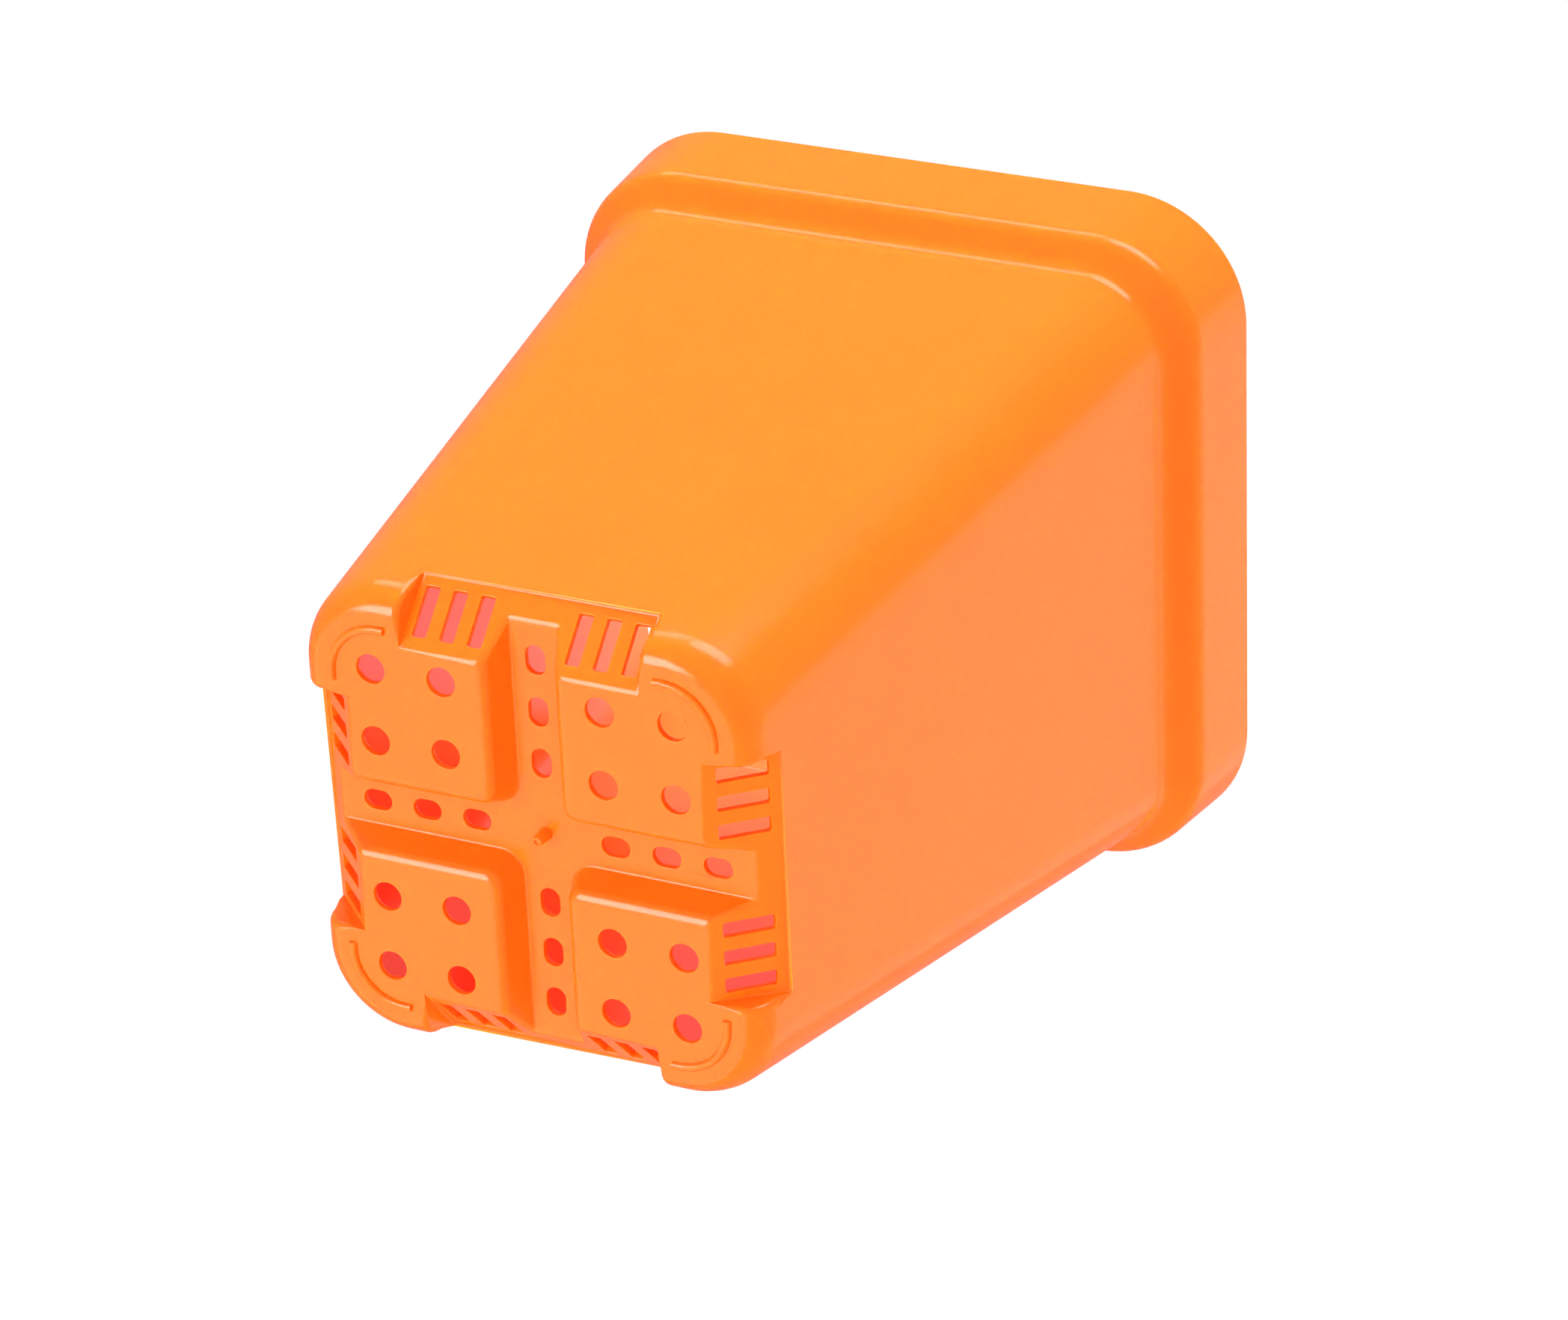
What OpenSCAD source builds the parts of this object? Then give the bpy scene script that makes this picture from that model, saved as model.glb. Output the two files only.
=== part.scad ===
// Square seed starting pot, moulded in one piece.
// The pot stands on four low ribs, +Z towards its open mouth, with the origin
// under the middle of its base. Heights in the code are from the pads' plane,
// which is rib_h above the ground. Lengths are in millimetres, angles in degrees.

/* [Pot] */
// Width across the mouth, side to side
mouth_w = 100; // [94:0.5:116]
// Height from the ground to the mouth
pot_h = 125.7; // [100:0.1:150]
// Width of the tapered body at the pads' plane
base_w = 65.8; // [60:0.1:76]
// Wall thickness, the same everywhere
wall = 1; // [0.8:0.05:1.3]
// Radius of the body's corners, seen from above
corner_r = 12.2; // [9:0.1:14]

/* [Collar] */
// Height of the flared band below the mouth
band_h = 12.9; // [8:0.1:20]
// How much wider the mouth is than the band's lower edge
band_flare = 2.2; // [0.4:0.1:5]
// How far the band's lower edge stands out from the body
step_out = 4.5; // [4:0.1:7]
// Slope of the step's underside, from the vertical
step_a = 50; // [40:1:55]
// Radius of the hollow under the step
step_in_r = 4.1; // [2:0.1:4.6]
// Radius of the step's rounded edge
step_out_r = 3.85; // [2:0.05:4.4]

/* [Base] */
// How far the pads' edge is set in where it rounds up into the wall
foot_in = 3; // [2:0.1:4]
// Height of that rounding
foot_up = 4.6; // [3:0.1:6]
// How far the pad's edge is set in where the sides are chamfered
chamfer_in = 7; // [5.5:0.1:8]
// Height at which the chamfer meets the body's side
chamfer_h = 7.5; // [6.2:0.1:9]
// Length of side left whole at each corner, beside the chamfer
foot_w = 15.4; // [14.6:0.1:17]
// Draft of the chamfer's end walls
foot_end_a = 5; // [0:1:15]
// Radius of the end walls' outer edge, where it is fully rounded
foot_edge_r = 1.2; // [0.6:0.1:1.6]

/* [Ribs] */
// Height of the corner ribs that the pot stands on
rib_h = 0.6; // [0.4:0.05:1]
// Width of a rib at its root
rib_w = 1.1; // [0.9:0.05:1.4]
// Width of the flat crest of a rib
rib_crest_w = 0.5; // [0.3:0.05:0.7]
// Distance from the body's side to the middle of a rib
rib_in = 4.9; // [4.4:0.1:5.4]
// Distance from the chamfer's end wall to the tip of a rib
rib_end_gap = 1.4; // [0.9:0.05:1.6]

/* [Cross channel] */
// Width of the channel's floor
channel_w = 7.2; // [6:0.1:8.4]
// Depth of the channel below the pads
channel_d = 4.7; // [3.6:0.1:5.4]
// Draft of the channel's walls
channel_a = 20; // [10:1:24]
// Radius of the edge between the pads and the channel
channel_edge_r = 1.85; // [1.4:0.05:2.4]
// Radius in the bottom edge of the channel
channel_floor_r = 0.4; // [0.2:0.05:0.8]
// Radius of a pad's inner corner at the channel's floor
channel_corner_r = 3.45; // [2.6:0.05:4.4]

/* [Gate stub] */
// Height of the stub left by the mould's gate, in the middle of the cross
gate_h = 2.6; // [1.5:0.1:3.5]
// Radius of the stub at its root
gate_root_r = 1.1; // [0.9:0.05:1.5]
// Radius of the stub at its tip
gate_tip_r = 0.72; // [0.5:0.02:0.88]
// Depth of the dimple in the tip
gate_dimple = 0.3; // [0.1:0.05:0.6]

/* [Round holes] */
// Radius of the round holes in the pads
hole_r = 2.1; // [1.5:0.05:2.6]
// Material between the outer holes and the pad's chamfered edge
hole_edge = 1.7; // [1.4:0.05:2.6]
// Material between the inner holes and the channel's rounded edge
hole_in = 2.9; // [1.5:0.05:4]
// Least distance between the centres of neighbouring holes
hole_pitch = 7.5; // [6:0.1:9]

/* [Channel slots] */
// Length of the slots in the channel's floor
slot_l = 4.2; // [3.2:0.1:5.4]
// Width of the slots
slot_w = 2.9; // [2:0.1:3.1]
// Distance from slot to slot
slot_pitch = 7.5; // [6.6:0.1:8.5]
// Material between the last slot and the end of the floor
slot_end = 3.4; // [2:0.1:5]
// Least distance from the middle of the cross to a slot's centre
slot_clear = 7.5; // [6:0.1:10]

/* [Side vents] */
// Width of the vents in the chamfers
vent_w = 2.1; // [1.4:0.05:2.5]
// Length of the vents, up the chamfer's slope
vent_l = 7.1; // [5.5:0.1:7.6]
// Distance up the slope from the pad's edge to a vent
vent_low = 2; // [1.5:0.1:2.4]
// Distance from vent to vent
vent_pitch = 4.1; // [3.6:0.1:5]
// Material between the last vent and the chamfer's end
vent_end = 1.1; // [0.8:0.05:2]
// Least material between the first vent and the channel's wall
vent_gap = 0.7; // [0.4:0.05:1.5]
// Radius in the corners of a vent
vent_r = 0.3; // [0.1:0.05:0.6]

/* [Hidden] */
plastic = [0.96, 0.43, 0.1];

// Facets in each corner of the shell, in a small fillet and in a full turn
corner_n = 12;
fillet_n = 5;
turn_n = 48;

// Length by which a cutter passes the surface that it opens
over = 2;

// Levels and half widths of the collar's profile
top_z = pot_h - rib_h;
band_half = (mouth_w - band_flare) / 2;
neck_half = band_half - step_out;
band_a = atan(band_flare / 2 / band_h);

// Rise and run of an arc of radius r whose slope turns from a to b, from the vertical
function arc_run(r, a, b) = r * (cos(a) - cos(b));
function arc_rise(r, a, b) = r * (sin(b) - sin(a));

// Length of the straight underside of the step, and the height where the body ends,
// for a body wall that leans out by a
function step_l(a) =
    (step_out - arc_run(step_in_r, a, step_a) - arc_run(step_out_r, band_a, step_a)) / sin(step_a);
function neck_z(a) =
    top_z - band_h - arc_rise(step_out_r, band_a, step_a)
    - step_l(a) * cos(step_a) - arc_rise(step_in_r, a, step_a);

// The body's draft closes the profile between the base and the neck. It settles in a
// few turns, because the neck's height hardly depends on it.
function settled_draft(a, turns) =
    turns == 0 ? a : settled_draft(atan((neck_half - base_w / 2) / neck_z(a)), turns - 1);
draft_turns = 6;
draft = settled_draft(band_a, draft_turns);
neck = neck_z(draft);

// Half width of the plain body wall, and distance of the corner's centre from the axis
function side(z) = base_w / 2 + z * tan(draft);
function corner_at(z) = side(min(z, neck)) - corner_r;

// Point of an arc with its centre at c, where the outward normal leans down by a
function on_arc(c, r, a) = [c[0] + r * cos(a), c[1] - r * sin(a)];
function steps(a, b, n) = [for (i = [0:n]) a + (b - a) * i / n];

// Profile of the shell as [half width, height] points, sunk into the wall by e
hollow_c = on_arc([neck_half, neck], step_in_r, draft);
edge_p = on_arc(hollow_c, -step_in_r, step_a) + step_l(draft) * [sin(step_a), cos(step_a)];
edge_c = on_arc(edge_p, -step_out_r, step_a);
function foot_profile(e) = [
    for (t = steps(0, 90, fillet_n))
        let (z = e + (foot_up - e) * (1 - cos(t)))
            [side(z) - e / cos(draft) - (foot_in - e) * (1 - sin(t)), z]
];
function collar_profile(e) = concat(
    [for (a = steps(draft, step_a, fillet_n)) on_arc(hollow_c, -step_in_r - e, a)],
    [for (a = steps(step_a, band_a, fillet_n)) on_arc(edge_c, step_out_r - e, a)]
);
function shell_profile(e) =
    let (rim_z = top_z + (e > 0 ? over : 0), edge = on_arc(edge_c, step_out_r - e, band_a))
        concat(foot_profile(e), collar_profile(e), [[edge[0] + (rim_z - edge[1]) * tan(band_a), rim_z]]);

// Rounded square of half width p[0] at height p[1]
function turned(v, q) = q == 0 ? v : turned([-v[1], v[0]], q - 1);
function shell_ring(p) = [
    for (q = [0:3], a = steps(0, 90, corner_n))
        let (c = corner_at(p[1]), v = turned([c, c] + (p[0] - c) * [cos(a), sin(a)], q))
            [v[0], v[1], p[1]]
];

// Solid between rings of equal length around the axis, the lowest first. Each runs
// anticlockwise, and its ends are closed by fans from the axis.
module loft(rings) {
    n = len(rings[0]);
    last = len(rings) - 1;
    middle = (last + 1) * n;
    sides = [
        for (k = [0:last - 1], i = [0:n - 1], half = [0, 1])
            let (j = (i + 1) % n, low = k * n, high = low + n)
                half == 0 ? [low + i, high + j, low + j] : [low + i, high + i, high + j]
    ];
    ends = [
        for (i = [0:n - 1], high = [0, 1])
            let (j = (i + 1) % n, row = last * n)
                high == 0 ? [i, j, middle] : [row + j, row + i, middle + 1]
    ];
    polyhedron(
        points = concat([for (r = rings, p = r) p], [[0, 0, rings[0][0][2]], [0, 0, rings[last][0][2]]]),
        faces = concat(sides, ends)
    );
}

// Half width of the channel's wall, sunk by e, where its line meets height z
function channel_side(z, e) = channel_w / 2 + (channel_d - z) * tan(channel_a) + e / cos(channel_a);

// Profile of half the channel as [half width, height] points, from the pads to the floor
thin_r = 0.2;
bend = 90 - channel_a;
function channel_profile(e) =
    let (
        r = max(channel_edge_r - e, thin_r),
        pad = [channel_side(e, e) + r * tan(bend / 2), e],
        floor_r = channel_floor_r + e,
        floor_z = channel_d + e,
        foot = [channel_side(floor_z, e) - floor_r * tan(bend / 2), floor_z - floor_r]
    )
        concat(
            [pad - [0, over]],
            [for (a = steps(0, bend, fillet_n)) pad + [-r * sin(a), r * (1 - cos(a))]],
            [for (a = steps(bend, 0, fillet_n)) foot + floor_r * [sin(a), cos(a)]]
        );

// Outline of the cross at half width p[0]: a pad's corner keeps its centre at every level
pad_c = channel_w / 2 + channel_corner_r;
function cross_ring(p) =
    let (c = max(pad_c, p[0] + thin_r), r = c - p[0], reach = side(2 * channel_d))
        [for (q = [0:3], v = concat(
            [[reach, p[0]]],
            [for (a = steps(0, 90, fillet_n)) [c - r * sin(a), c - r * cos(a)]],
            [[p[0], reach]]
        )) let (w = turned(v, q)) [w[0], w[1], p[1]]];
module cross_cut(e) {
    loft([for (p = channel_profile(e)) cross_ring(p)]);
}

// The chamfer's plane starts at the pad's edge and leans out by chamfer_a
chamfer_x = base_w / 2 - chamfer_in;
chamfer_a = atan((side(chamfer_h) - chamfer_x) / chamfer_h);
chamfer_l = chamfer_h / cos(chamfer_a);
chamfer_half = base_w / 2 - foot_w;

// Places things on the chamfer of each side: X out of its plane, Z up its slope
module on_chamfers() {
    for (q = [0:3]) {
        rotate([0, 0, 90 * q])
            translate([chamfer_x, 0, 0])
                rotate([0, chamfer_a, 0])
                    children();
    }
}

// Deepest that the chamfer cuts into the foot's rounding
cut_depth = max([for (p = foot_profile(0)) (p[0] - chamfer_x) * cos(chamfer_a) - p[1] * sin(chamfer_a)]);

// Half outline of what the chamfer takes off, from its plane outwards. The outer surface
// has a rounded edge at the cut's deepest part, which fades out towards both ends of the cut.
function end_wall(e) =
    let (
        out = cut_depth + over,
        root = chamfer_half + e / cos(foot_end_a) - e * tan(foot_end_a),
        start = [cut_depth - foot_edge_r, root + (cut_depth - foot_edge_r) * tan(foot_end_a)],
        c = start + foot_edge_r * [-sin(foot_end_a), cos(foot_end_a)]
    )
        e > 0
            ? [[-e, root], [out, root + (out + e) * tan(foot_end_a)]]
            : concat(
                [[0, root]],
                [for (a = steps(foot_end_a, 90, fillet_n)) c + foot_edge_r * [sin(a), -cos(a)]],
                [[out, c[1]]]
            );
module chamfer_cut(e) {
    half = end_wall(e);
    translate([0, 0, -over])
        linear_extrude(chamfer_l + 2 * over)
            polygon(concat(half, [for (i = [len(half) - 1:-1:0]) [half[i][0], -half[i][1]]]));
}

// Solid inside the outer surface, sunk by e: 0 gives the pot's form, wall its inside
module form(e) {
    difference() {
        loft([for (p = shell_profile(e)) shell_ring(p)]);
        cross_cut(e);
        on_chamfers()
            chamfer_cut(e);
    }
}

// Evenly spread places from a to b, as many as fit at the least pitch
function spread(a, b, pitch) =
    let (n = max(floor((b - a) / pitch), 0))
        n == 0 ? [(a + b) / 2] : [for (i = [0:n]) a + (b - a) * i / n];

// Places counted back from the last one at a fixed pitch, down to the least one
function backwards(last, least, pitch) = [for (p = [last:-pitch:least]) p];

// Round holes, in a grid on each pad
pad_edge = channel_profile(0)[1][0];
hole_at = spread(pad_edge + hole_in + hole_r, chamfer_x - hole_edge - hole_r, hole_pitch);
module round_holes() {
    for (q = [0:3], x = hole_at, y = hole_at) {
        rotate([0, 0, 90 * q])
            translate([x, y, -over])
                cylinder(h = wall + 2 * over, r = hole_r, $fn = turn_n);
    }
}

// Slots with round ends, in a row along each arm of the cross
floor_end = chamfer_x + channel_d * tan(chamfer_a);
slot_at = backwards(floor_end - slot_end - slot_l / 2, slot_clear, slot_pitch);
module channel_slots() {
    h = wall + 2 * over;
    straight = slot_l - slot_w;
    for (q = [0:3], x = slot_at) {
        rotate([0, 0, 90 * q])
            translate([x, 0, channel_d - over]) {
                for (s = [-1, 1]) {
                    translate([s * straight / 2, 0, 0])
                        cylinder(h = h, d = slot_w, $fn = turn_n);
                }
                translate([-straight / 2, -slot_w / 2, 0])
                    cube([straight, slot_w, h]);
            }
    }
}

// Upright vents through the chamfers, on both sides of the channel
vent_at = backwards(
    chamfer_half - vent_end - vent_w / 2,
    channel_side(vent_low * cos(chamfer_a), 0) + vent_gap + vent_w / 2,
    vent_pitch
);
vent_corner_n = 2;
function vent_outline() = [
    for (q = [0:3], a = steps(0, 90, vent_corner_n))
        let (
            h = (q % 2 == 0 ? [vent_l, vent_w] : [vent_w, vent_l]) / 2 - [vent_r, vent_r],
            v = turned(h + vent_r * [cos(a), sin(a)], q)
        )
            [v[0] + vent_low + vent_l / 2, v[1]]
];
module vents() {
    on_chamfers()
        for (y = vent_at, s = [-1, 1]) {
            translate([-wall - over, s * y, 0])
                rotate([0, -90, 180])
                    linear_extrude(wall + 2 * over)
                        polygon(vent_outline());
        }
}

// Section of a rib, from its root in the pad to its rounded, flat-topped crest
rib_r = min((rib_w - rib_crest_w) / 2, rib_h);
root = wall / 2;
function rib_right() = concat(
    [[rib_w / 2, root]],
    [for (a = steps(0, 90, fillet_n)) [rib_crest_w / 2 + rib_r * cos(a), rib_r - rib_h - rib_r * sin(a)]]
);
function mirrored(line) = [for (i = [len(line) - 1:-1:0]) [-line[i][0], line[i][1]]];

// One rib follows the corner's curve and ends in two short straight lengths
rib_turn_r = corner_r - rib_in;
rib_c = corner_at(0);
rib_x = base_w / 2 - rib_in;
rib_end = chamfer_half + (rib_x - chamfer_x) * cos(chamfer_a) * tan(foot_end_a) + rib_end_gap + rib_w / 2;
rib_tail = max(rib_c - rib_end, 0);
module rib() {
    section = concat(rib_right(), mirrored(rib_right()));
    translate([rib_c, rib_c, 0])
        rotate_extrude(angle = 90, $fn = 4 * turn_n)
            translate([rib_turn_r, 0])
                polygon(section);
    for (s = [0, 1]) {
        mirror([s, -s, 0])
            translate([rib_x, rib_c - rib_tail, 0]) {
                rotate([90, 0, 180])
                    linear_extrude(rib_tail)
                        polygon(section);
                rotate_extrude($fn = turn_n)
                    polygon(concat(rib_right(), [[0, -rib_h], [0, root]]));
            }
    }
}

// Tapered stub with a dimple, standing down from the channel's floor
module gate_stub() {
    translate([0, 0, channel_d])
        rotate([180, 0, 0])
            difference() {
                translate([0, 0, -root])
                    cylinder(h = gate_h + root, r1 = gate_root_r, r2 = gate_tip_r, $fn = turn_n);
                translate([0, 0, gate_h - gate_dimple])
                    cylinder(h = gate_dimple + over, r1 = 0, r2 = gate_tip_r * (gate_dimple + over) / (2 * gate_dimple),
                        $fn = turn_n);
            }
}

module pot() {
    color(plastic)
        translate([0, 0, rib_h]) {
            difference() {
                form(0);
                form(wall);
                round_holes();
                channel_slots();
                vents();
            }
            for (q = [0:3]) {
                rotate([0, 0, 90 * q])
                    rib();
            }
            gate_stub();
        }
}

pot();
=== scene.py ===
import bpy
import bmesh
import math
from mathutils import Matrix, Vector


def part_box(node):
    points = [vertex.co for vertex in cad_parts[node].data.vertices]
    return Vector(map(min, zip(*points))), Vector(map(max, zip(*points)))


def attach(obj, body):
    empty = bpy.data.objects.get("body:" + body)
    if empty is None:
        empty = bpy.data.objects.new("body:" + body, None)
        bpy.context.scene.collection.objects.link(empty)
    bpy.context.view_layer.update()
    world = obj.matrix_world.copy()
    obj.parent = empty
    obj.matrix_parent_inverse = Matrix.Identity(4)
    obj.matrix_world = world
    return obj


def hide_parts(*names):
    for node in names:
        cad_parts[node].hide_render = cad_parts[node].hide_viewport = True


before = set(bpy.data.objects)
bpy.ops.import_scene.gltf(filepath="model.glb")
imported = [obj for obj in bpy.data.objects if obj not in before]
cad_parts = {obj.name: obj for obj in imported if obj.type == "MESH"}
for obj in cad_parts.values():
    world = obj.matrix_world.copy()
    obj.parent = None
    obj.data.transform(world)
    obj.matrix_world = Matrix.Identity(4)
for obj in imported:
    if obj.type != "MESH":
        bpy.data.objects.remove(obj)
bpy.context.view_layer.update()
scene = bpy.context.scene
mm = 0.001  # the sizes below are millimetres, the scene is in metres

# The camera looks up at the base from below, where the photograph was taken from.
cameraSpot = {
    "place": (337.4, -356.85, -581.46),
    "looksAlong": (-0.40982, 0.44184, 0.79802),
    "topLeans": (-0.16486, -0.89633, 0.41161),
    "lens": 133.96,
    "sensor": 36.0,
    "nearest": 20.0,
    "farthest": 20000.0,
}


def makeCamera(spot):
    data = bpy.data.cameras.new("photoCamera")
    data.lens = spot["lens"]
    data.sensor_width = spot["sensor"]
    data.clip_start = spot["nearest"] * mm
    data.clip_end = spot["farthest"] * mm
    back = -Vector(spot["looksAlong"]).normalized()
    top = Vector(spot["topLeans"])
    right = top.cross(back).normalized()
    top = back.cross(right)
    camera = bpy.data.objects.new("photoCamera", data)
    scene.collection.objects.link(camera)
    turn = Matrix((right, top, back)).transposed().to_4x4()
    camera.matrix_world = Matrix.Translation(Vector(spot["place"]) * mm) @ turn
    scene.camera = camera


makeCamera(cameraSpot)
print("camera placed")


# Small helpers for node trees
def addNode(tree, kind, settings=None, **inputs):
    node = tree.nodes.new(kind)
    for name, value in (settings or {}).items():
        setattr(node, name, value)
    for name, value in inputs.items():
        plug(tree, value, node.inputs[name.replace("_", " ")])
    return node


def plug(tree, value, socket):
    if hasattr(value, "is_output"):
        tree.links.new(value, socket)
    else:
        socket.default_value = value


def math2(tree, how, a, b=0.0):
    node = tree.nodes.new("ShaderNodeMath")
    node.operation = how
    plug(tree, a, node.inputs[0])
    plug(tree, b, node.inputs[1])
    return node.outputs[0]


def xyz(tree, x=0.0, y=0.0, z=0.0):
    return addNode(tree, "ShaderNodeCombineXYZ", X=x, Y=y, Z=z).outputs[0]


def noise(tree, place, scale, detail):
    node = addNode(tree, "ShaderNodeTexNoise", Vector=place, Scale=scale, Detail=detail)
    return node.outputs[0]


# Orange polypropylene with the faint clouding and fine grain of a moulded surface. Light
# soaks into the wall and comes out redder.
plastic = {
    "colour": (0.95, 0.115, 0.003, 1),
    "paleColour": (0.96, 0.135, 0.005, 1),
    "cloudScale": 45.0,
    "cloudDetail": 4.0,
    "cloudShare": 0.5,
    "grainScale": 1400.0,
    "grainDetail": 3.0,
    "grainHeight": 0.006 * mm,
    "roughnessLow": 0.15,
    "roughnessHigh": 0.24,
    "soak": 0.85,
    "soakReach": (1.0, 0.08, 0.02),
    "soakDepth": 5.0 * mm,
}


def plasticMaterial(look):
    mat = bpy.data.materials.new("orangePlastic")
    mat.use_nodes = True
    tree = mat.node_tree
    shader = tree.nodes["Principled BSDF"]
    place = tree.nodes.new("ShaderNodeTexCoord").outputs["Object"]
    clouds = noise(tree, place, look["cloudScale"], look["cloudDetail"])
    share = math2(tree, "MULTIPLY", clouds, look["cloudShare"])
    tint = addNode(
        tree,
        "ShaderNodeMix",
        {"data_type": "RGBA"},
        Factor=share,
        A=look["colour"],
        B=look["paleColour"],
    )
    tree.links.new(tint.outputs[2], shader.inputs["Base Color"])
    grain = noise(tree, place, look["grainScale"], look["grainDetail"])
    gloss = addNode(
        tree,
        "ShaderNodeMapRange",
        Value=grain,
        To_Min=look["roughnessLow"],
        To_Max=look["roughnessHigh"],
    )
    tree.links.new(gloss.outputs[0], shader.inputs["Roughness"])
    bump = addNode(tree, "ShaderNodeBump", Height=grain, Distance=look["grainHeight"])
    tree.links.new(bump.outputs[0], shader.inputs["Normal"])
    shader.inputs["Subsurface Weight"].default_value = look["soak"]
    shader.inputs["Subsurface Radius"].default_value = look["soakReach"]
    shader.inputs["Subsurface Scale"].default_value = look["soakDepth"]
    return mat


plasticFinish = plasticMaterial(plastic)
print("plastic mixed")

# The shell's sizes follow the drawing of the pot. Heights count from the pads' plane.
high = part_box("pot")[1]
ribHeight = 0.6
shell = {
    "mouthHalf": high[0] / mm,
    "topZ": high[2] / mm - ribHeight,
    "baseHalf": 32.9,
    "wall": 1.0,
    "cornerRadius": 12.2,
    "bandHeight": 12.9,
    "bandFlare": 1.1,
    "stepOut": 4.5,
    "stepSlope": math.radians(50),
    "stepHollowRadius": 4.1,
    "stepEdgeRadius": 3.85,
    "footIn": 3.0,
    "footUp": 4.6,
    "chamferIn": 7.0,
    "chamferUp": 7.5,
    "footWidth": 15.4,
    "footEdgeRadius": 1.0,
    "edgeFade": 1.0,
    "chordFillet": 0.6,
    "creaseRadius": 1.2,
    "creaseAngle": math.radians(28),
    "cornerAngle": math.radians(80),
    "channelHalf": 3.6,
    "channelDepth": 4.7,
    "channelDraft": math.radians(20),
    "channelEdgeRadius": 1.85,
    "channelFloorRadius": 0.4,
    "channelCornerRadius": 3.45,
    "channelLeastTurn": 0.2,
    "cornerSteps": 20,
    "filletSteps": 8,
    "floorSteps": 4,
    "footSteps": 6,
    "stepSteps": 10,
    "creaseSteps": 4,
    "seamGap": 0.002,
}
s = shell


def spread(first, last, count):
    return [first + (last - first) * i / count for i in range(count + 1)]


def turned(points, quarter):
    for _ in range(quarter):
        points = [(-p[1], p[0], p[2]) for p in points]
    return points


# Slopes are angles from the upright, and the body's draft closes the profile.
bandSlope = math.atan(s["bandFlare"] / s["bandHeight"])
neckHalf = s["mouthHalf"] - s["bandFlare"] - s["stepOut"]


def underside(draft):
    slope = s["stepSlope"]
    run = s["stepHollowRadius"] * (math.cos(draft) - math.cos(slope))
    run += s["stepEdgeRadius"] * (math.cos(bandSlope) - math.cos(slope))
    return (s["stepOut"] - run) / math.sin(slope)


def neckHeight(draft):
    slope = s["stepSlope"]
    rise = s["stepHollowRadius"] * (math.sin(slope) - math.sin(draft))
    rise += s["stepEdgeRadius"] * (math.sin(slope) - math.sin(bandSlope))
    rise += underside(draft) * math.cos(slope)
    return s["topZ"] - s["bandHeight"] - rise


# The draft and the neck's height depend on each other, and settle within a few turns.
draft = bandSlope
draftTurns = 8
for _ in range(draftTurns):
    draft = math.atan((neckHalf - s["baseHalf"]) / neckHeight(draft))
neckZ = neckHeight(draft)


def side(z):
    return s["baseHalf"] + z * math.tan(draft)


def cornerAt(z):
    return side(min(z, neckZ)) - s["cornerRadius"]


def footProfile(sink):
    # from the pads' plane round into the wall, sunk by a distance
    line = []
    for t in spread(0, math.pi / 2, s["filletSteps"]):
        z = sink + (s["footUp"] - sink) * (1 - math.cos(t))
        half = side(z) - sink / math.cos(draft) - (s["footIn"] - sink) * (1 - math.sin(t))
        line.append((half, z))
    return line


def collarProfile(sink):
    slope = s["stepSlope"]
    hollowRadius = s["stepHollowRadius"]
    edgeRadius = s["stepEdgeRadius"]

    def onArc(centre, r, a):
        return (centre[0] + r * math.cos(a), centre[1] - r * math.sin(a))

    hollow = onArc((neckHalf, neckZ), hollowRadius, draft)
    line = [onArc(hollow, -hollowRadius - sink, a) for a in spread(draft, slope, s["stepSteps"])]
    start = onArc(hollow, -hollowRadius, slope)
    length = underside(draft)
    end = (start[0] + length * math.sin(slope), start[1] + length * math.cos(slope))
    edge = onArc(end, -edgeRadius, slope)
    line += [onArc(edge, edgeRadius - sink, a) for a in spread(slope, bandSlope, s["stepSteps"])]
    last = line[-1]
    line.append((last[0] + (s["topZ"] - last[1]) * math.tan(bandSlope), s["topZ"]))
    return line


# The channel between the pads, as half width and height from the pads down to the floor
def channelProfile(sink):
    lean = s["channelDraft"]
    bend = math.pi / 2 - lean
    edge = s["channelEdgeRadius"] - sink
    floorRadius = s["channelFloorRadius"] + sink
    floorZ = s["channelDepth"] + sink

    def wallAt(z):
        return s["channelHalf"] + (s["channelDepth"] - z) * math.tan(lean) + sink / math.cos(lean)

    start = wallAt(sink) + edge * math.tan(bend / 2)
    end = wallAt(floorZ) - floorRadius * math.tan(bend / 2)
    line = []
    for a in spread(0, bend, s["filletSteps"]):
        line.append((start - edge * math.sin(a), sink + edge * (1 - math.cos(a))))
    for a in spread(bend, 0, s["floorSteps"]):
        line.append((end + floorRadius * math.sin(a), floorZ - floorRadius * (1 - math.cos(a))))
    return line


chamferX = s["baseHalf"] - s["chamferIn"]
chamferRun = (side(s["chamferUp"]) - chamferX) / s["chamferUp"]
chamferAngle = math.atan(chamferRun)
chamferHalf = s["baseHalf"] - s["footWidth"]


def onChamfer(z, sink):
    return chamferX + z * chamferRun - sink / math.cos(chamferAngle)


def wallLine(sink):
    # where the chamfer meets the body's wall, both sunk by a distance
    z = s["chamferIn"] - sink / math.cos(draft) + sink / math.cos(chamferAngle)
    z /= chamferRun - math.tan(draft)
    return (onChamfer(z, sink), z)


def channelPath(half, z, sink):
    # along one arm's wall, round the pad's corner and out along the next arm
    centre = max(s["channelHalf"] + s["channelCornerRadius"], half + s["channelLeastTurn"])
    r = centre - half
    far = onChamfer(z, sink)
    line = [(far, half, z)]
    for a in spread(0, math.pi / 2, s["filletSteps"]):
        line.append((centre - r * math.sin(a), centre - r * math.cos(a), z))
    line.append((half, far, z))
    return line


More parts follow.
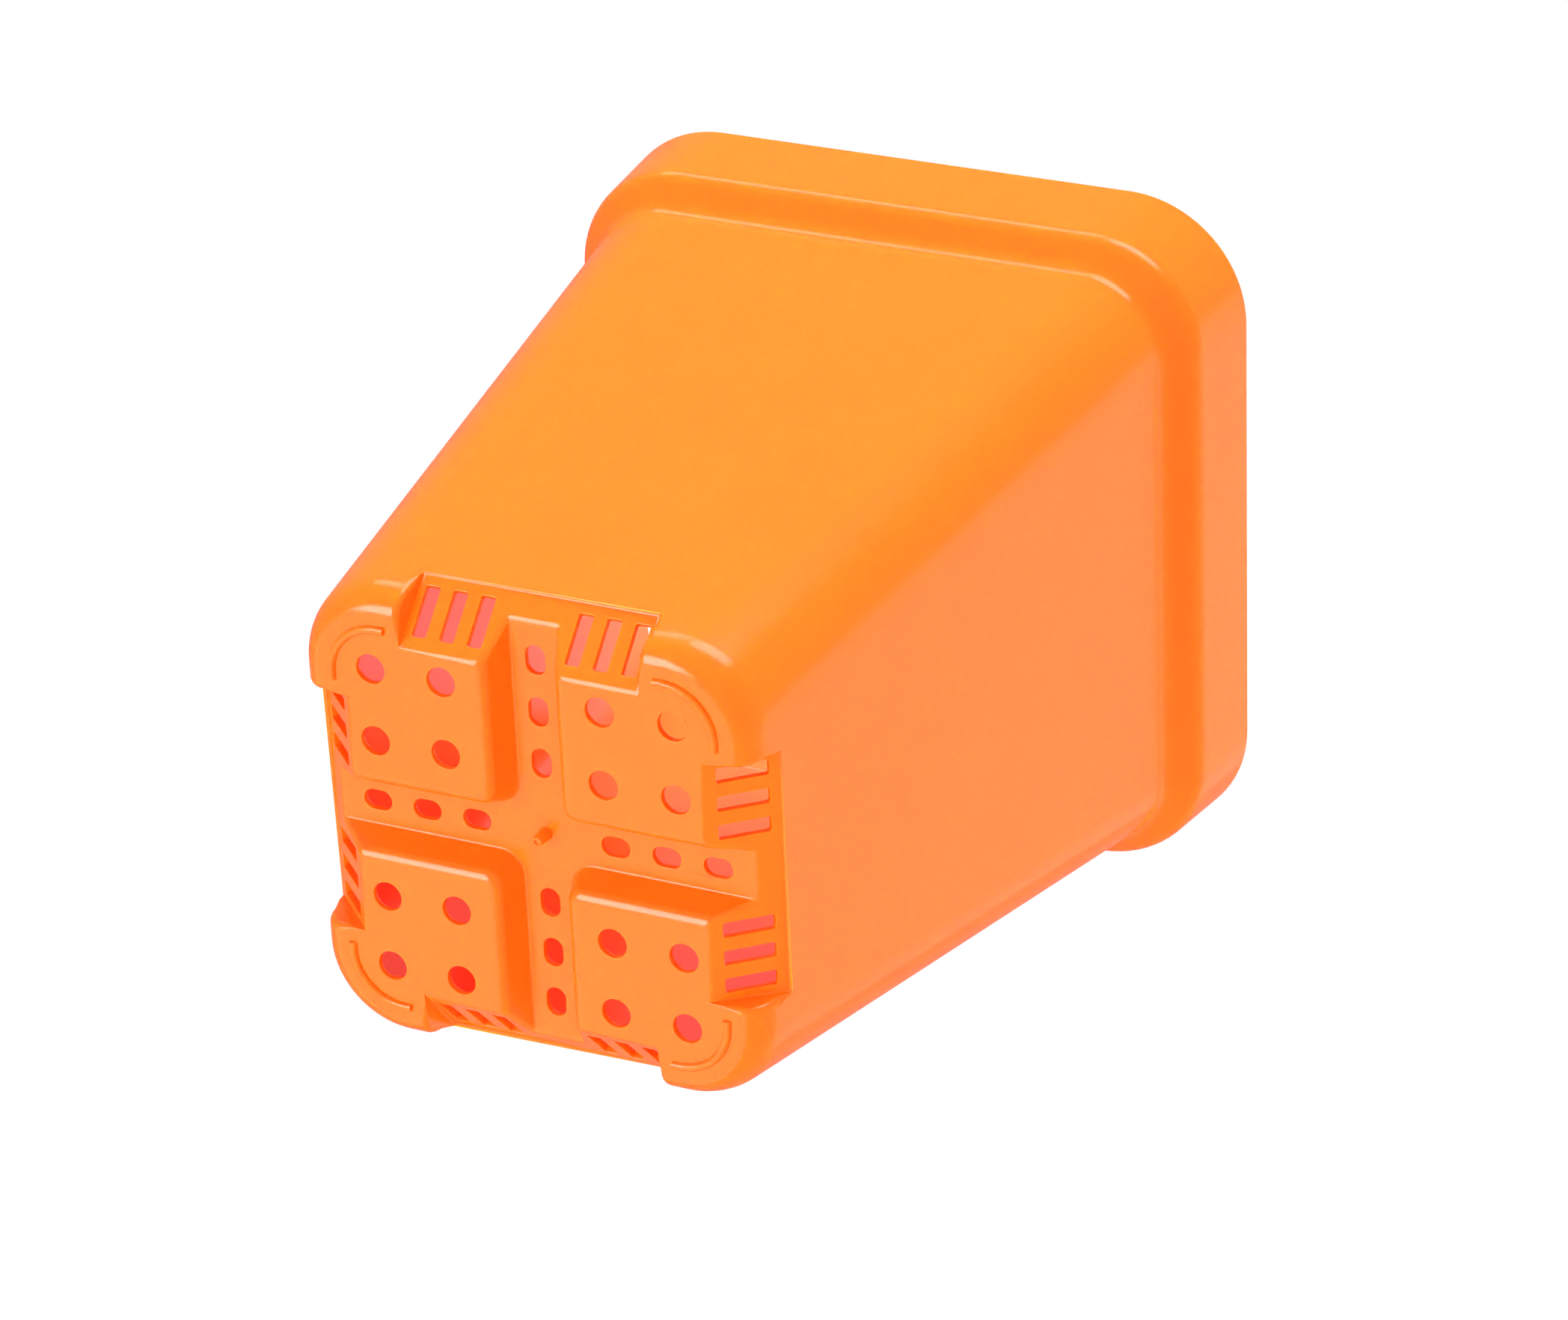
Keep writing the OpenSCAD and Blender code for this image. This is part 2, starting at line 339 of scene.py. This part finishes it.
def footCorners(sink):
    # the ends of the chamfer's end wall, at the pad and at the body's wall
    x, z = wallLine(sink)
    y = chamferHalf + sink
    return (onChamfer(sink, sink), y, sink), (x, y, z)


def footRow(angle, sink):
    # the foot's outline where its end edge has turned by an angle. The edge's rounding
    # runs out just before both ends of the wall.
    r = max(s["footEdgeRadius"] - sink, 0)
    deep = sink + r * (1 - math.sin(angle))
    first, last = footCorners(sink)
    y = first[1] + r * (1 - math.cos(angle))
    fadeZ = last[2] - s["edgeFade"]
    line = [(first[0] + s["edgeFade"], first[1], sink)]
    line += [(x, y, z) for x, z in footProfile(deep)]
    return line + [(side(fadeZ) - sink / math.cos(draft), first[1], fadeZ)]


def mirrored(points):
    return [(y, x, z) for x, y, z in points]


def cornerRing(half, z):
    centre = cornerAt(z)
    r = half - centre
    return [
        (centre + r * math.cos(a), centre + r * math.sin(a), z)
        for a in spread(0, math.pi / 2, s["cornerSteps"])
    ]


def addFace(mesh, points):
    return mesh.faces.new([mesh.verts.new(Vector(p) * mm) for p in points])


def addStrips(mesh, rows):
    for a, b in zip(rows, rows[1:]):
        for i in range(len(a) - 1):
            addFace(mesh, [a[i], a[i + 1], b[i + 1], b[i]])


def collarRow(half, z):
    return [(half, -cornerAt(z), z)] + cornerRing(half, z)


def addSkin(mesh, sink):
    # one side of the wall, sunk into it by a distance
    channel = [channelPath(half, z, sink) for half, z in channelProfile(sink)]
    turns = spread(0, math.pi / 2, s["footSteps"]) if sink == 0 else [0]
    rows = [footRow(a, sink) for a in turns]
    first, last = footCorners(sink)
    outline = rows[-1][1:-1] + [last]
    rings = [[p] + cornerRing(p[0], p[2]) + mirrored([p]) for p in outline]
    collar = collarProfile(sink)
    neckX, neckTop = collar[0]
    lowY, highY = cornerAt(last[2]), cornerAt(neckTop)
    body = [(last[0], y, last[2]) for y in (-lowY, -last[1], last[1], lowY)]
    body += [(neckX, highY, neckTop), (neckX, -highY, neckTop)]
    chamfer = [line[0] for line in channel[::-1]] + [first, last]
    chamfer += [(x, -y, z) for x, y, z in chamfer[::-1]]
    pad = channel[0] + mirrored([first, rows[-1][0]]) + rings[0][::-1] + [rows[-1][0], first]
    endWall = [first] + rows[0] + [last]
    fade = [rows[-1][-2], last, rows[-1][-1]]
    for q in range(4):
        # the pad with the channel's walls, its foot with two end walls, then the side
        for rowSet in (channel, rings, rows, [mirrored(row) for row in rows]):
            addStrips(mesh, [turned(row, q) for row in rowSet])
        for points in (pad, endWall, mirrored(endWall), fade, mirrored(fade), chamfer, body):
            addFace(mesh, turned(points, q))
        ends = ((last[0], last[2]), collar[0])
        addStrips(mesh, [turned(cornerRing(*end), q) for end in ends])
        addStrips(mesh, [turned(collarRow(*point), q) for point in collar])
    floor = []
    for q in range(4):
        floor += turned(channel[-1], q)
    addFace(mesh, floor)


def mergeSeams(mesh):
    bmesh.ops.remove_doubles(mesh, verts=mesh.verts, dist=s["seamGap"] * mm)
    bmesh.ops.recalc_face_normals(mesh, faces=mesh.faces)
    for face in mesh.faces:
        face.smooth = True


def markCreases(mesh):
    # the inner creases at the feet get the full fillet, the outer ones less
    weight = mesh.edges.layers.float.new("bevel_weight_edge")
    for edge in mesh.edges:
        fold = edge.calc_face_angle_signed(0)
        if fold < -s["creaseAngle"]:
            edge[weight] = 1
        elif s["creaseAngle"] < fold < s["cornerAngle"]:
            edge[weight] = s["creaseRadius"] * math.tan(fold / 2) / s["chordFillet"]


def shellMesh():
    mesh = bmesh.new()
    addSkin(mesh, 0)
    mergeSeams(mesh)
    markCreases(mesh)
    addSkin(mesh, s["wall"])
    for q in range(4):
        rim = [turned(collarRow(*collarProfile(sink)[-1]), q) for sink in (0, s["wall"])]
        addStrips(mesh, rim)
    mergeSeams(mesh)
    bmesh.ops.translate(mesh, verts=mesh.verts, vec=(0, 0, ribHeight * mm))
    return mesh


def newObject(name, mesh):
    data = bpy.data.meshes.new(name)
    mesh.to_mesh(data)
    mesh.free()
    thing = bpy.data.objects.new(name, data)
    scene.collection.objects.link(thing)
    return thing


pot = newObject("potShell", shellMesh())
print("shell", len(pot.data.polygons), "faces")


# Geometry Nodes trees
def newTree(name, sizes):
    tree = bpy.data.node_groups.new(name, "GeometryNodeTree")
    face = tree.interface
    face.new_socket("Geometry", in_out="INPUT", socket_type="NodeSocketGeometry")
    face.new_socket("Geometry", in_out="OUTPUT", socket_type="NodeSocketGeometry")
    kinds = {int: "NodeSocketInt", float: "NodeSocketFloat"}
    for key, value in sizes.items():
        face.new_socket(key, in_out="INPUT", socket_type=kinds[type(value)])
    given = tree.nodes.new("NodeGroupInput")
    return tree, given.outputs, tree.nodes.new("NodeGroupOutput").inputs[0]


def endTree(tree, made, result):
    whole = addNode(tree, "GeometryNodeRealizeInstances", Geometry=made).outputs[0]
    painted = addNode(tree, "GeometryNodeSetMaterial", Geometry=whole, Material=plasticFinish)
    tree.links.new(painted.outputs[0], result)


def useTree(thing, tree, sizes):
    mod = thing.modifiers.new(tree.name, "NODES")
    mod.node_group = tree
    for item in tree.interface.items_tree:
        if item.in_out == "INPUT" and item.name in sizes:
            mod[item.identifier] = sizes[item.name]


def prism(tree, outline, height):
    # a closed bar along Z, centred on the origin
    half = math2(tree, "MULTIPLY", height, 0.5)
    less = math2(tree, "MULTIPLY", height, -0.5)
    line = addNode(tree, "GeometryNodeCurvePrimitiveLine", Start=xyz(tree, z=less))
    tree.links.new(xyz(tree, z=half), line.inputs["End"])
    bar = addNode(tree, "GeometryNodeCurveToMesh", Curve=line.outputs[0], Fill_Caps=True)
    tree.links.new(outline, bar.inputs["Profile Curve"])
    return bar.outputs[0]


def filleted(tree, curve, radius, steps):
    poly = {"mode": "POLY"}
    node = addNode(tree, "GeometryNodeFilletCurve", poly, Curve=curve, Radius=radius, Count=steps)
    return node.outputs[0]


def roundedOutline(tree, length, width, radius, steps):
    quad = addNode(tree, "GeometryNodeCurvePrimitiveQuadrilateral", Width=length, Height=width)
    return filleted(tree, quad.outputs[0], radius, steps)


def pointRow(tree, count, start, step):
    row = addNode(tree, "GeometryNodeMeshLine", Count=count, Start_Location=start, Offset=step)
    return row.outputs[0]


def copiesAt(tree, points, thing, turn=(0, 0, 0)):
    node = addNode(tree, "GeometryNodeInstanceOnPoints", Points=points, Instance=thing)
    plug(tree, turn, node.inputs["Rotation"])
    return node.outputs[0]


def fourTimes(tree, thing):
    points = addNode(tree, "GeometryNodePoints", Count=4).outputs[0]
    index = tree.nodes.new("GeometryNodeInputIndex").outputs[0]
    turn = xyz(tree, z=math2(tree, "MULTIPLY", index, math.pi / 2))
    return copiesAt(tree, points, thing, turn)


def moved(tree, thing, place):
    return addNode(tree, "GeometryNodeTransform", Geometry=thing, Translation=place).outputs[0]


def meshBoolean(tree, how):
    return addNode(tree, "GeometryNodeMeshBoolean", {"operation": how, "solver": "MANIFOLD"})


# The drain holes, the slots in the channel and the vents in the chamfers
hole = {"radius": 2.1, "fromChannel": 2.9, "fromChamfer": 1.7}
slot = {"length": 4.2, "width": 2.9, "fromChamfer": 3.4}
vent = {"length": 7.1, "width": 2.1, "fromPad": 2, "fromFoot": 1.1}
holeFirst = channelProfile(0)[0][0] + hole["fromChannel"] + hole["radius"]
holeLast = chamferX - hole["fromChamfer"] - hole["radius"]
floorEnd = onChamfer(s["channelDepth"], 0)
openings = {
    "ribHeight": ribHeight * mm,
    "cutDepth": 5 * mm,
    "holeRadius": hole["radius"] * mm,
    "holeSteps": 48,
    "holeMiddle": (holeFirst + holeLast) / 2 * mm,
    "holeSpread": (holeLast - holeFirst) * mm,
    "holesAcross": 2,
    "channelDepth": s["channelDepth"] * mm,
    "slotLength": slot["length"] * mm,
    "slotWidth": slot["width"] * mm,
    "slotEndShare": 0.4999,  # of the width, so that the ends are round
    "slotEndSteps": 12,
    "slotPitch": 7.5 * mm,
    "slotLast": (floorEnd - slot["fromChamfer"] - slot["length"] / 2) * mm,
    "slotCount": 3,
    "chamferStart": chamferX * mm,
    "chamferAngle": chamferAngle,
    "ventWidth": vent["width"] * mm,
    "ventLength": vent["length"] * mm,
    "ventMiddle": (vent["fromPad"] + vent["length"] / 2) * mm,
    "ventCorner": 0.3 * mm,
    "ventCornerSteps": 4,
    "ventPitch": 4.1 * mm,
    "ventLast": (chamferHalf - vent["fromFoot"] - vent["width"] / 2) * mm,
    "ventCount": 3,
}


def openingsTree():
    tree, size, result = newTree("openings", openings)
    depth = size["cutDepth"]
    # round holes in a square grid on each pad
    circle = addNode(tree, "GeometryNodeCurvePrimitiveCircle", Radius=size["holeRadius"])
    tree.links.new(size["holeSteps"], circle.inputs["Resolution"])
    pin = prism(tree, circle.outputs[0], depth)
    grid = addNode(
        tree,
        "GeometryNodeMeshGrid",
        Size_X=size["holeSpread"],
        Size_Y=size["holeSpread"],
        Vertices_X=size["holesAcross"],
        Vertices_Y=size["holesAcross"],
    )
    middle = xyz(tree, size["holeMiddle"], size["holeMiddle"])
    holes = copiesAt(tree, moved(tree, grid.outputs[0], middle), pin)
    # slots with round ends along each arm, from its end inwards
    end = math2(tree, "MULTIPLY", size["slotWidth"], size["slotEndShare"])
    outline = roundedOutline(tree, size["slotLength"], size["slotWidth"], end, size["slotEndSteps"])
    inwards = xyz(tree, math2(tree, "MULTIPLY", size["slotPitch"], -1.0))
    start = xyz(tree, size["slotLast"], z=size["channelDepth"])
    row = pointRow(tree, size["slotCount"], start, inwards)
    slots = copiesAt(tree, row, prism(tree, outline, depth))
    # vents up the slope, on both sides of the channel
    corner, steps = size["ventCorner"], size["ventCornerSteps"]
    outline = roundedOutline(tree, size["ventLength"], size["ventWidth"], corner, steps)
    lean = math2(tree, "SUBTRACT", size["chamferAngle"], math.pi / 2)
    run = math2(tree, "MULTIPLY", size["ventMiddle"], math2(tree, "SINE", size["chamferAngle"]))
    rise = math2(tree, "MULTIPLY", size["ventMiddle"], math2(tree, "COSINE", size["chamferAngle"]))
    x = math2(tree, "ADD", size["chamferStart"], run)
    bar = prism(tree, outline, depth)
    vents = []
    for way in (1.0, -1.0):
        y = math2(tree, "MULTIPLY", size["ventLast"], way)
        step = math2(tree, "MULTIPLY", size["ventPitch"], -way)
        row = pointRow(tree, size["ventCount"], xyz(tree, x, y, rise), xyz(tree, y=step))
        vents.append(copiesAt(tree, row, bar, xyz(tree, y=lean)))
    join = tree.nodes.new("GeometryNodeJoinGeometry")
    for part in (holes, slots, *vents):
        tree.links.new(part, join.inputs[0])
    around = fourTimes(tree, join.outputs[0])
    whole = addNode(tree, "GeometryNodeRealizeInstances", Geometry=around).outputs[0]
    cutters = moved(tree, whole, xyz(tree, z=size["ribHeight"]))
    cut = meshBoolean(tree, "DIFFERENCE")
    tree.links.new(size["Geometry"], cut.inputs["Mesh 1"])
    tree.links.new(cutters, cut.inputs["Mesh 2"])
    endTree(tree, cut.outputs["Mesh"], result)
    return tree


def plainMesh(thing):
    # bakes the modifiers into the mesh and takes them off
    thing.update_tag()
    bpy.context.view_layer.update()
    graph = bpy.context.evaluated_depsgraph_get()
    mesh = bpy.data.meshes.new_from_object(thing.evaluated_get(graph))
    thing.modifiers.clear()
    thing.data = mesh


# The ribs round the pads' outer corners, and the gate stub in the middle of the cross
ribInset = 4.9
ribs = {
    "width": 1.1 * mm,
    "crestRadius": 0.5 * mm,
    "crestSteps": 5,
    "height": ribHeight * mm,
    "root": 0.5 * mm,
    "turnRadius": (s["cornerRadius"] - ribInset) * mm,
    "turnSteps": 24,
    "step": 0.15 * mm,
    "leastShare": 0.2,
}
ribPlace = {"middle": s["baseHalf"] - ribInset, "tip": 19.07}
stub = {
    "height": 2.6,
    "rootRadius": 0.98,
    "tipRadius": 0.72,
    "edge": 0.1,
    "dimpleRadius": 0.34,
    "dimple": 0.35,
    "steps": 40,
    "seamGap": 0.001,
}


def ribPaths(place, width):
    mesh = bmesh.new()
    far, end = place["middle"], place["tip"] + width / 2
    for q in range(4):
        line = turned([(far, end, ribHeight), (far, far, ribHeight), (end, far, ribHeight)], q)
        verts = [mesh.verts.new(Vector(p) * mm) for p in line]
        for a, b in zip(verts, verts[1:]):
            mesh.edges.new((a, b))
    return mesh


aboveOne = 1.0001  # keeps the number whose square root is taken above zero


def ribTree():
    tree, size, result = newTree("ribSweep", ribs)
    path = addNode(tree, "GeometryNodeMeshToCurve", Mesh=size["Geometry"]).outputs[0]
    turns = filleted(tree, path, size["turnRadius"], size["turnSteps"])
    byLength = {"mode": "LENGTH"}
    even = addNode(tree, "GeometryNodeResampleCurve", byLength, Curve=turns, Length=size["step"])
    # the ends are round, so the section shrinks over the last half width
    along = tree.nodes.new("GeometryNodeSplineParameter").outputs["Length"]
    whole = tree.nodes.new("GeometryNodeSplineLength").outputs["Length"]
    near = math2(tree, "MINIMUM", along, math2(tree, "SUBTRACT", whole, along))
    half = math2(tree, "MULTIPLY", size["width"], 0.5)
    reached = math2(tree, "MINIMUM", math2(tree, "DIVIDE", near, half), 1.0)
    left = math2(tree, "SUBTRACT", 1.0, reached)
    squared = math2(tree, "SUBTRACT", aboveOne, math2(tree, "MULTIPLY", left, left))
    share = math2(tree, "MAXIMUM", math2(tree, "SQRT", squared), size["leastShare"])
    thin = addNode(tree, "GeometryNodeSetCurveRadius", Curve=even.outputs[0], Radius=share)
    tall = math2(tree, "ADD", size["height"], size["root"])
    outline = roundedOutline(tree, size["width"], tall, size["crestRadius"], size["crestSteps"])
    drop = math2(tree, "MULTIPLY", math2(tree, "SUBTRACT", size["height"], size["root"]), 0.5)
    outline = moved(tree, outline, xyz(tree, y=drop))
    sweep = addNode(tree, "GeometryNodeCurveToMesh", Curve=thin.outputs[0], Fill_Caps=True)
    tree.links.new(outline, sweep.inputs["Profile Curve"])
    endTree(tree, sweep.outputs[0], result)
    return tree


def stubMesh(size):
    mesh = bmesh.new()
    floor = s["channelDepth"] + ribHeight
    tip = floor - size["height"]
    line = [
        (0, floor + ribs["root"] / mm),
        (size["rootRadius"], floor + ribs["root"] / mm),
        (size["rootRadius"], floor),
        (size["tipRadius"], tip + size["edge"]),
        (size["tipRadius"] - size["edge"], tip),
        (size["dimpleRadius"] + size["edge"], tip),
        (size["dimpleRadius"], tip + size["dimple"] - size["edge"]),
        (0, tip + size["dimple"]),
    ]
    for k in range(size["steps"]):
        a = 2 * math.pi * k / size["steps"]
        b = 2 * math.pi * (k + 1) / size["steps"]
        for (r1, z1), (r2, z2) in zip(line, line[1:]):
            ring = [(r1, a, z1), (r2, a, z2), (r2, b, z2), (r1, b, z1)]
            # a face that reaches the axis has three corners
            ring = [p for i, p in enumerate(ring) if p[0] > 0 or i in (0, 1)]
            addFace(mesh, [(r * math.cos(t), r * math.sin(t), z) for r, t, z in ring])
    bmesh.ops.remove_doubles(mesh, verts=mesh.verts, dist=size["seamGap"] * mm)
    bmesh.ops.recalc_face_normals(mesh, faces=mesh.faces)
    return mesh


ribSweep = newObject("ribSweep", ribPaths(ribPlace, ribs["width"] / mm))
useTree(ribSweep, ribTree(), ribs)
plainMesh(ribSweep)
gateStub = newObject("gateStub", stubMesh(stub))


def additionsTree():
    tree, size, result = newTree("additions", {})
    whole = meshBoolean(tree, "UNION")
    for thing in (gateStub, ribSweep):
        info = addNode(tree, "GeometryNodeObjectInfo", Object=thing)
        tree.links.new(info.outputs["Geometry"], whole.inputs["Mesh"])
    tree.links.new(size["Geometry"], whole.inputs["Mesh"])
    endTree(tree, whole.outputs["Mesh"], result)
    return tree


def addBevel(thing, name, width, steps):
    bevel = thing.modifiers.new(name, "BEVEL")
    bevel.width = width * mm
    bevel.segments = steps
    bevel.use_clamp_overlap = False
    return bevel


# Fillets in the marked creases, the openings, fine rims round them, and the ribs and the stub
rimLook = {"width": 0.13, "steps": 2, "angle": math.radians(40), "evenness": 60}
creases = addBevel(pot, "creases", s["chordFillet"], s["creaseSteps"])
creases.limit_method = "WEIGHT"
plainMesh(pot)
useTree(pot, openingsTree(), openings)
plainMesh(pot)
print("openings cut", len(pot.data.polygons), "faces")
rims = addBevel(pot, "rims", rimLook["width"], rimLook["steps"])
rims.limit_method = "ANGLE"
rims.angle_limit = rimLook["angle"]
useTree(pot, additionsTree(), {})
plainMesh(pot)
pot.data.set_sharp_from_angle(angle=rimLook["angle"])
evenNormals = pot.modifiers.new("evenNormals", "WEIGHTED_NORMAL")
evenNormals.weight = rimLook["evenness"]
evenNormals.keep_sharp = True
plainMesh(pot)
for thing in (ribSweep, gateStub):
    bpy.data.objects.remove(thing)
print("rims rounded", len(pot.data.polygons), "faces")

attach(pot, "root")
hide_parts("pot")

# A pale floor at the level of the rib crests. It is clear from below, where the photograph was
# taken from, and it neither shades nor tints the pot.
floorLook = {
    "half": 3.0,
    "colour": (0.9, 0.9, 0.89, 1),
    "roughness": 0.8,
    "speckScale": 60.0,
    "speckDetail": 2.0,
    "speckHeight": 0.1 * mm,
}


def makeFloor(look):
    half = look["half"]
    mesh = bmesh.new()
    corners = ((-half, -half, 0), (half, -half, 0), (half, half, 0), (-half, half, 0))
    mesh.faces.new([mesh.verts.new(corner) for corner in corners])
    floor = newObject("floor", mesh)
    mat = bpy.data.materials.new("paleFloor")
    mat.use_nodes = True
    tree = mat.node_tree
    shader = tree.nodes["Principled BSDF"]
    shader.inputs["Roughness"].default_value = look["roughness"]
    shader.inputs["Base Color"].default_value = look["colour"]
    place = tree.nodes.new("ShaderNodeTexCoord").outputs["Object"]
    specks = noise(tree, place, look["speckScale"], look["speckDetail"])
    bump = addNode(tree, "ShaderNodeBump", Height=specks, Distance=look["speckHeight"])
    tree.links.new(bump.outputs[0], shader.inputs["Normal"])
    clear = tree.nodes.new("ShaderNodeBsdfTransparent")
    below = tree.nodes.new("ShaderNodeNewGeometry").outputs["Backfacing"]
    both = tree.nodes.new("ShaderNodeMixShader")
    tree.links.new(below, both.inputs[0])
    tree.links.new(shader.outputs[0], both.inputs[1])
    tree.links.new(clear.outputs[0], both.inputs[2])
    tree.links.new(both.outputs[0], tree.nodes["Material Output"].inputs["Surface"])
    floor.data.materials.append(mat)
    floor.visible_diffuse = False
    floor.visible_glossy = False
    floor.visible_transmission = False
    floor.visible_shadow = False


makeFloor(floorLook)

# The studio is white where the camera sees it. Its own light is weak. The lamps light the
# plastic without a glint, and the panels are what its gloss shows.
studioLevel = 0.3
potMiddle = Vector((0, 0, 60)) * mm
usualAway = 1.0
lamps = {
    "topLamp": {"towards": (0.0, -1.0, 0.45), "wide": 0.8, "tall": 0.8, "level": 12.9},
    "sideLamp": {"towards": (1.0, 0.6, 0.5), "wide": 1.0, "tall": 1.0, "level": 6.4},
    "lowLamp": {"towards": (0.1, 0.3, -1.0), "wide": 0.8, "tall": 0.8, "level": 5.0},
    "leftLamp": {"towards": (-0.9, 0.0, -0.7), "wide": 0.8, "tall": 0.8, "level": 1.2},
    "fillLamp": {"towards": (0.5, -0.45, -0.75), "wide": 0.8, "tall": 0.8, "level": 3.4},
    "mouthLamp": {"towards": (0.0, 0.0, 1.0), "away": 0.12, "wide": 0.16, "tall": 0.16, "level": 1.0},
}
panels = {
    "keyPanel": {"towards": (-0.41, -0.32, -0.86), "wide": 0.5, "tall": 0.6, "level": 8.0},
    "topPanel": {"towards": (0.25, -0.92, 0.31), "wide": 0.7, "tall": 0.35, "level": 5.0},
    "edgePanel": {"towards": (-0.41, -0.82, 0.42), "wide": 0.5, "tall": 0.2, "level": 3.0},
    "frontPanel": {"towards": (-0.41, 0.44, -0.8), "wide": 1.3, "tall": 1.3, "level": 0.8},
    "rightPanel": {"towards": (0.57, 0.44, 0.69), "wide": 0.8, "tall": 0.8, "level": 0.4},
    "mouthPanel": {"towards": (0.0, 0.0, 1.0), "away": 0.13, "wide": 0.16, "tall": 0.16, "level": 0.29},
}


def makeWorld(level):
    world = bpy.data.worlds.new("studioWorld")
    world.use_nodes = True
    tree = world.node_tree
    seen = tree.nodes.new("ShaderNodeLightPath").outputs["Is Camera Ray"]
    backdrop = addNode(tree, "ShaderNodeMix", Factor=seen, A=level, B=1.0)
    tree.links.new(backdrop.outputs[0], tree.nodes["Background"].inputs["Strength"])
    tree.nodes["Background"].inputs["Color"].default_value = (1, 1, 1, 1)
    scene.world = world


def makeBox(name, box, glints):
    lamp = bpy.data.lights.new(name, "AREA")
    lamp.shape = "RECTANGLE"
    lamp.size = box["wide"]
    lamp.size_y = box["tall"]
    lamp.energy = box["level"] * math.pi * box["wide"] * box["tall"]
    thing = bpy.data.objects.new(name, lamp)
    towards = Vector(box["towards"]).normalized()
    thing.location = potMiddle + towards * box.get("away", usualAway)
    thing.rotation_euler = towards.to_track_quat("Z", "Y").to_euler()
    thing.visible_glossy = glints
    scene.collection.objects.link(thing)


makeWorld(studioLevel)
for name, box in lamps.items():
    makeBox(name, box, False)
for name, box in panels.items():
    makeBox(name, box, True)
scene.view_settings.view_transform = "Standard"
print("studio lit")
